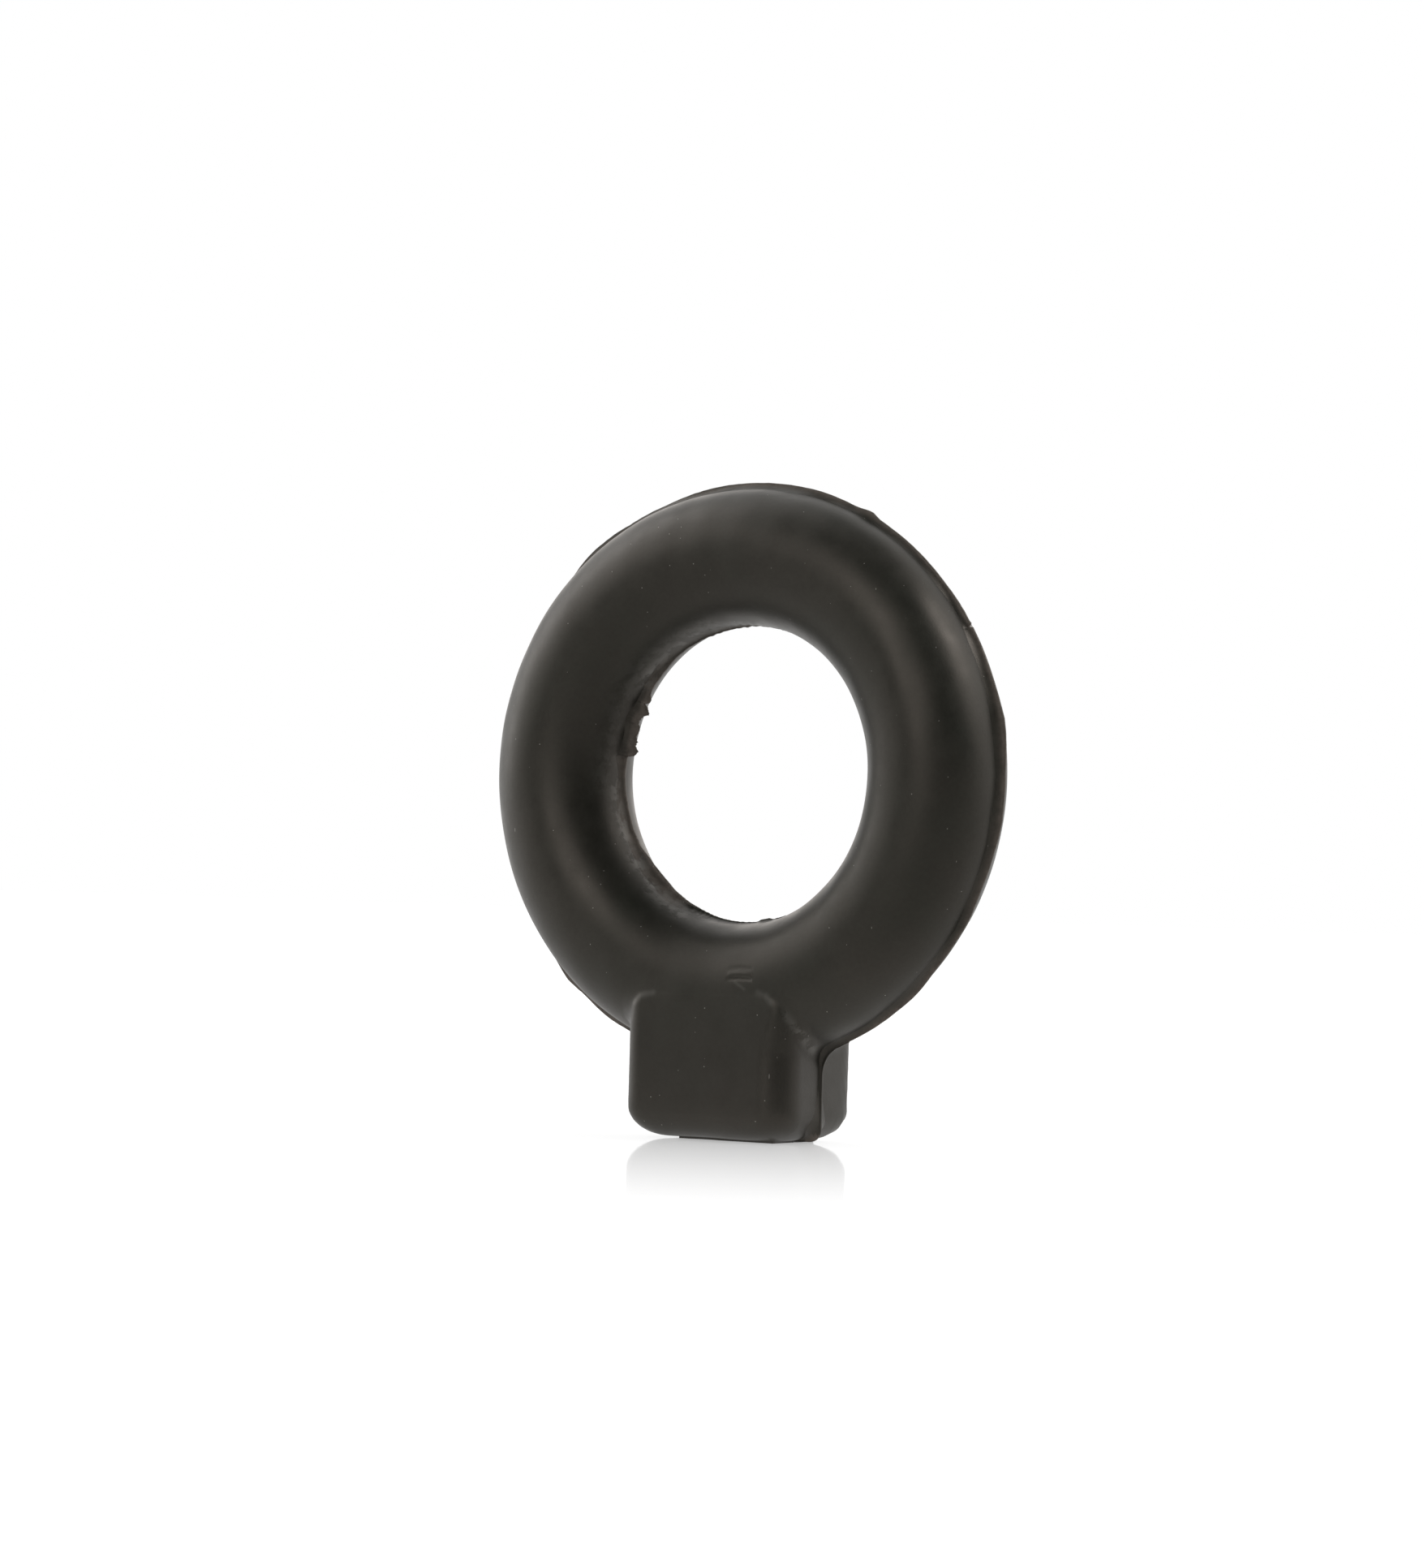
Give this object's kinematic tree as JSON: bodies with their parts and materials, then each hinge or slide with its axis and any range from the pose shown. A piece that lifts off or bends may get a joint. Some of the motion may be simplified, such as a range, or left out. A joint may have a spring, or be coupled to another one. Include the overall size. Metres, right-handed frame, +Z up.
{
  "type": "exhaust hanger rubber",
  "caption": "Thick rubber ring with a square lug under it: it hangs an exhaust pipe from a car's floor by two hooks through its hole and damps its shaking.",
  "frame": {"origin": "on the flat of the lug's foot, straight under the ring's axis", "axes": "+Z up from the foot through the middle of the ring, Y along the ring's axis with the front towards -Y, X across the ring"},
  "size_m": [0.0592, 0.014, 0.0664],
  "materials": {
    "rubber": "matte, slightly bloomed, with a few dust specks"
  },
  "bodies": {
    "root": {"hanger_rubber": "rubber"}
  },
  "joints": []
}
